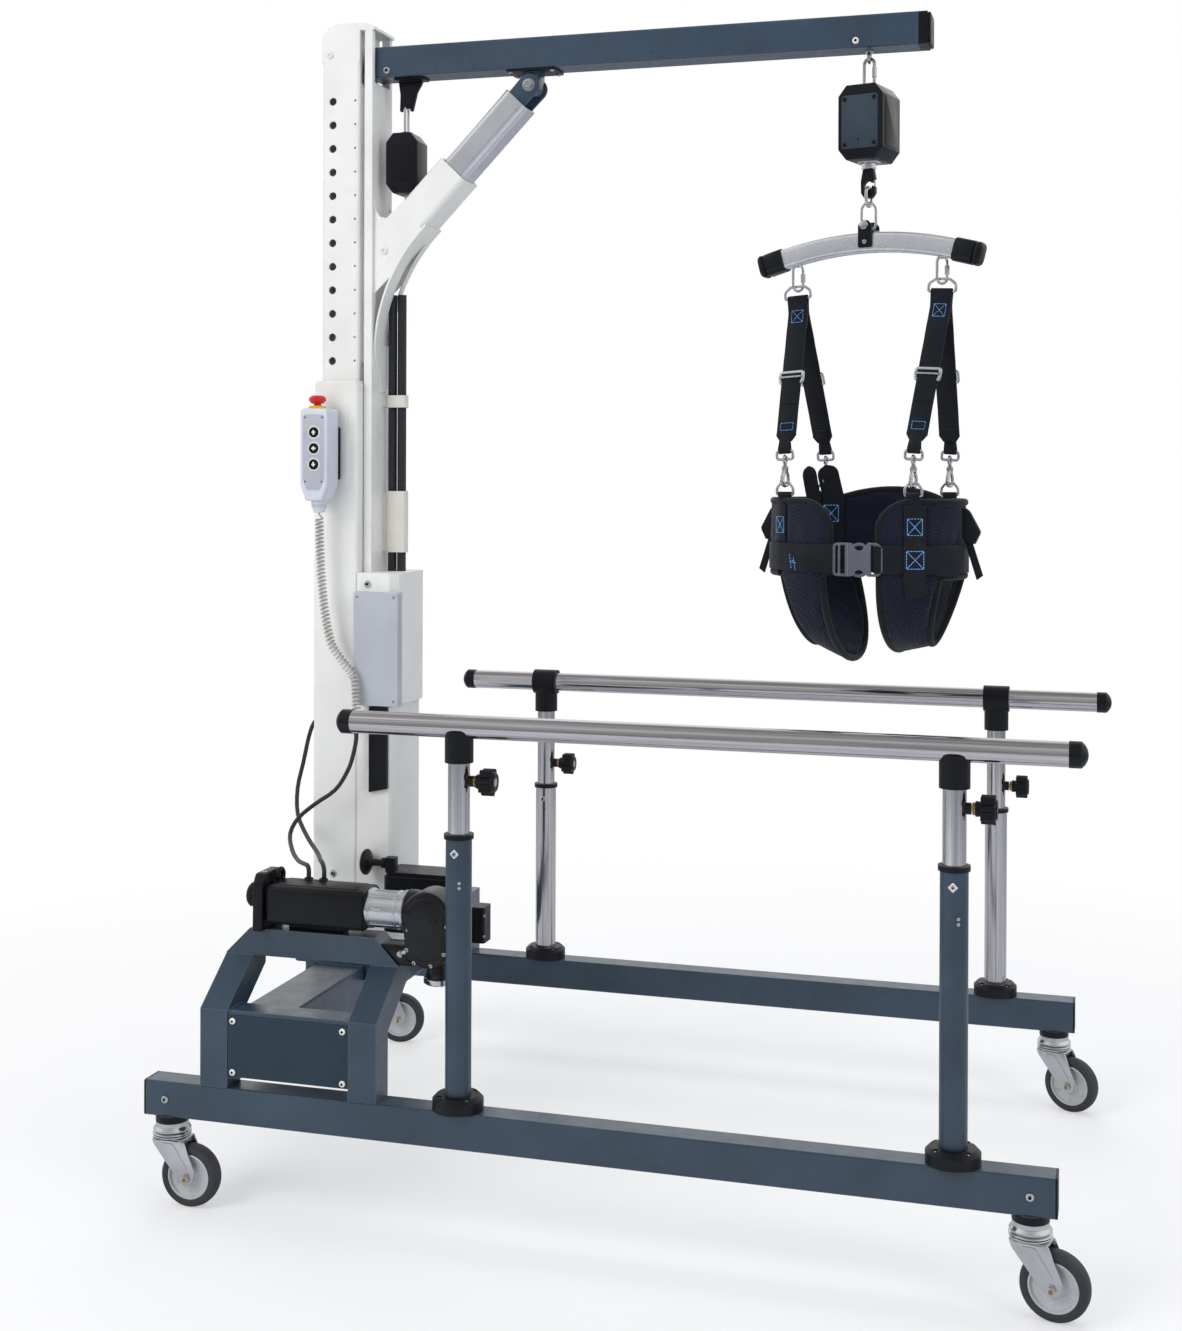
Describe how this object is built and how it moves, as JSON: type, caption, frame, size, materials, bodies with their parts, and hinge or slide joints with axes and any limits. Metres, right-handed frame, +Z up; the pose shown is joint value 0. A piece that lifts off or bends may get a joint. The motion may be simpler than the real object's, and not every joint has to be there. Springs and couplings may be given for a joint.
{
  "type": "body weight support system",
  "caption": "Wheeled walking support frame with handrails, a lifting mast and boom, and a padded harness hanging from a spreader bar.",
  "frame": {"origin": "on the floor, at the middle of the outline seen from above", "axes": "+X from the mast towards the open front, along the boom; +Y towards the side without the hand control; +Z up"},
  "size_m": [1.575, 1.0088, 2.104],
  "materials": {
    "frame_paint": "satin",
    "mast_paint": "satin",
    "moulded_black": "fine grain",
    "gloss_black": "gloss",
    "gearbox_metal": "satin black",
    "cord_rubber": "matt",
    "grey_plastic": "fine grain",
    "red_plastic": "gloss",
    "motor_aluminium": "brushed",
    "chrome_tube": "polished",
    "zinc_steel": "zinc plated",
    "wheel_rubber": "matt",
    "webbing": "woven"
  },
  "bodies": {
    "base": {"near_base_rail": "frame_paint", "far_base_rail": "frame_paint", "rail_end_caps": "moulded_black", "near_side_frame": "frame_paint", "far_side_frame": "frame_paint", "cross_beam": "frame_paint", "side_panels": "frame_paint", "post_sleeves": "frame_paint", "post_collars": "moulded_black", "frame_screws": "zinc_steel", "rear_mast_column": "mast_paint", "front_mast_column": "mast_paint", "mast_cover": "mast_paint", "control_box": "grey_plastic", "relay_box": "moulded_black", "pendant_shell": "grey_plastic", "pendant_bracket": "mast_paint", "pendant_cord": "cord_rubber", "drive_housing": "gloss_black", "drive_motor": "motor_aluminium", "drive_gearbox": "gearbox_metal", "drive_cables": "cord_rubber"},
    "lift_mast": {"mast_slider": "mast_paint", "mast_front_slider": "mast_paint", "brace_sleeve": "mast_paint", "brace_tube": "motor_aluminium", "brace_clevis": "frame_paint", "balance_lines": "cord_rubber"},
    "boom_arm": {"boom": "frame_paint", "boom_fittings": "moulded_black"},
    "balance_unit": {"balance_box": "gloss_black"},
    "load_unit": {"load_box": "gloss_black"},
    "spreader": {"load_hook": "gearbox_metal", "spreader_bar": "motor_aluminium"},
    "harness": {"hanging_straps": "webbing", "strap_hardware": "chrome_tube", "harness_wrap": "webbing", "waist_belt": "webbing"},
    "near_rail": {"near_handrail": "chrome_tube", "near_rail_fittings": "moulded_black"},
    "near_rear_clamp_knob": {"near_rear_knob": "moulded_black"},
    "near_rear_swivel": {"near_rear_fork": "zinc_steel"},
    "near_rear_roller": {"near_rear_wheel": "wheel_rubber"},
    "near_front_clamp_knob": {"near_front_knob": "moulded_black"},
    "near_front_swivel": {"near_front_fork": "zinc_steel"},
    "near_front_roller": {"near_front_wheel": "wheel_rubber"},
    "far_rail": {"far_handrail": "chrome_tube", "far_rail_fittings": "moulded_black"},
    "far_rear_clamp_knob": {"far_rear_knob": "moulded_black"},
    "far_rear_swivel": {"far_rear_fork": "zinc_steel"},
    "far_rear_roller": {"far_rear_wheel": "wheel_rubber"},
    "far_front_clamp_knob": {"far_front_knob": "moulded_black"},
    "far_front_swivel": {"far_front_fork": "zinc_steel"},
    "far_front_roller": {"far_front_wheel": "wheel_rubber"},
    "stop_head": {"estop_button": "red_plastic"},
    "raise_key": {"raise_button": "moulded_black"},
    "hold_key": {"hold_button": "moulded_black"},
    "lower_key": {"lower_button": "moulded_black"},
    "brake_grip": {"brake_knob": "moulded_black"},
    "drive_grip": {"drive_hand_knob": "moulded_black"}
  },
  "joints": [
    {"name": "mast_lift", "type": "slide", "parent": "base", "child": "lift_mast", "axis": [0, 0, 1], "range_m": [-0.03, 0.42]},
    {"name": "boom_tilt", "type": "hinge", "parent": "lift_mast", "child": "boom_arm", "pos_m": [-0.258, 0, 1.972], "axis": [0, 1, 0], "range_deg": [-1, 4]},
    {"name": "balance_travel", "type": "slide", "parent": "lift_mast", "child": "balance_unit", "axis": [0, 0, 1], "range_m": [-0.0055, 0.019]},
    {"name": "load_swing", "type": "hinge", "parent": "boom_arm", "child": "load_unit", "pos_m": [0.371, 0, 1.981], "axis": [0, 1, 0], "range_deg": [-15, 15]},
    {"name": "spreader_swivel", "type": "hinge", "parent": "load_unit", "child": "spreader", "pos_m": [0.371, 0, 1.804], "axis": [0, 0, 1], "continuous": true},
    {"name": "harness_swing", "type": "hinge", "parent": "spreader", "child": "harness", "pos_m": [0.371, 0, 1.58915], "axis": [0.9659, -0.2588, 0], "range_deg": [-12, 12]},
    {"name": "near_rail_height", "type": "slide", "parent": "base", "child": "near_rail", "axis": [0, 0, 1], "range_m": [-0.06, 0.12]},
    {"name": "near_rear_knob_turn", "type": "hinge", "parent": "near_rail", "child": "near_rear_clamp_knob", "pos_m": [-0.228, -0.4625, 0.749], "axis": [1, 0, 0], "continuous": true},
    {"name": "near_rear_caster_turn", "type": "hinge", "parent": "base", "child": "near_rear_swivel", "pos_m": [-0.748, -0.4625, 0.105], "axis": [0, 0, 1], "continuous": true},
    {"name": "near_rear_wheel_spin", "type": "hinge", "parent": "near_rear_swivel", "child": "near_rear_roller", "pos_m": [-0.711, -0.4625, 0.0525], "axis": [0, 1, 0], "continuous": true},
    {"name": "near_front_knob_turn", "type": "hinge", "parent": "near_rail", "child": "near_front_clamp_knob", "pos_m": [0.566, -0.4625, 0.749], "axis": [1, 0, 0], "continuous": true},
    {"name": "near_front_caster_turn", "type": "hinge", "parent": "base", "child": "near_front_swivel", "pos_m": [0.68, -0.4625, 0.105], "axis": [0, 0, 1], "continuous": true},
    {"name": "near_front_wheel_spin", "type": "hinge", "parent": "near_front_swivel", "child": "near_front_roller", "pos_m": [0.71619, -0.47019, 0.0525], "axis": [0.2079, 0.9781, 0], "continuous": true},
    {"name": "far_rail_height", "type": "slide", "parent": "base", "child": "far_rail", "axis": [0, 0, 1], "range_m": [-0.03, 0.15]},
    {"name": "far_rear_knob_turn", "type": "hinge", "parent": "far_rail", "child": "far_rear_clamp_knob", "pos_m": [-0.376, 0.4625, 0.63], "axis": [1, 0, 0], "continuous": true},
    {"name": "far_rear_caster_turn", "type": "hinge", "parent": "base", "child": "far_rear_swivel", "pos_m": [-0.748, 0.4625, 0.105], "axis": [0, 0, 1], "continuous": true},
    {"name": "far_rear_wheel_spin", "type": "hinge", "parent": "far_rear_swivel", "child": "far_rear_roller", "pos_m": [-0.71136, 0.46765, 0.0525], "axis": [-0.1392, 0.9903, 0], "continuous": true},
    {"name": "far_front_knob_turn", "type": "hinge", "parent": "far_rail", "child": "far_front_clamp_knob", "pos_m": [0.566, 0.4625, 0.63], "axis": [1, 0, 0], "continuous": true},
    {"name": "far_front_caster_turn", "type": "hinge", "parent": "base", "child": "far_front_swivel", "pos_m": [0.68, 0.4625, 0.105], "axis": [0, 0, 1], "continuous": true},
    {"name": "far_front_wheel_spin", "type": "hinge", "parent": "far_front_swivel", "child": "far_front_roller", "pos_m": [0.71431, 0.44864, 0.0525], "axis": [0.3746, 0.9272, 0], "continuous": true},
    {"name": "stop_press", "type": "slide", "parent": "base", "child": "stop_head", "axis": [0, 0, -1], "range_m": [0, 0.004]},
    {"name": "raise_press", "type": "slide", "parent": "base", "child": "raise_key", "axis": [0, 1, 0], "range_m": [0, 0.0025], "stiffness_N_per_m": 400},
    {"name": "hold_press", "type": "slide", "parent": "base", "child": "hold_key", "axis": [0, 1, 0], "range_m": [0, 0.0025], "stiffness_N_per_m": 400},
    {"name": "lower_press", "type": "slide", "parent": "base", "child": "lower_key", "axis": [0, 1, 0], "range_m": [0, 0.0025], "stiffness_N_per_m": 400},
    {"name": "brake_knob_turn", "type": "hinge", "parent": "base", "child": "brake_grip", "pos_m": [-0.51, -0.098, 0.521], "axis": [1, 0, 0], "continuous": true},
    {"name": "drive_knob_turn", "type": "hinge", "parent": "base", "child": "drive_grip", "pos_m": [-0.624, -0.371, 0.515], "axis": [1, 0, 0], "continuous": true}
  ],
  "couplings": [
    {"joint": "balance_travel", "follows": "boom_tilt", "m_per_rad": 0.254}
  ]
}
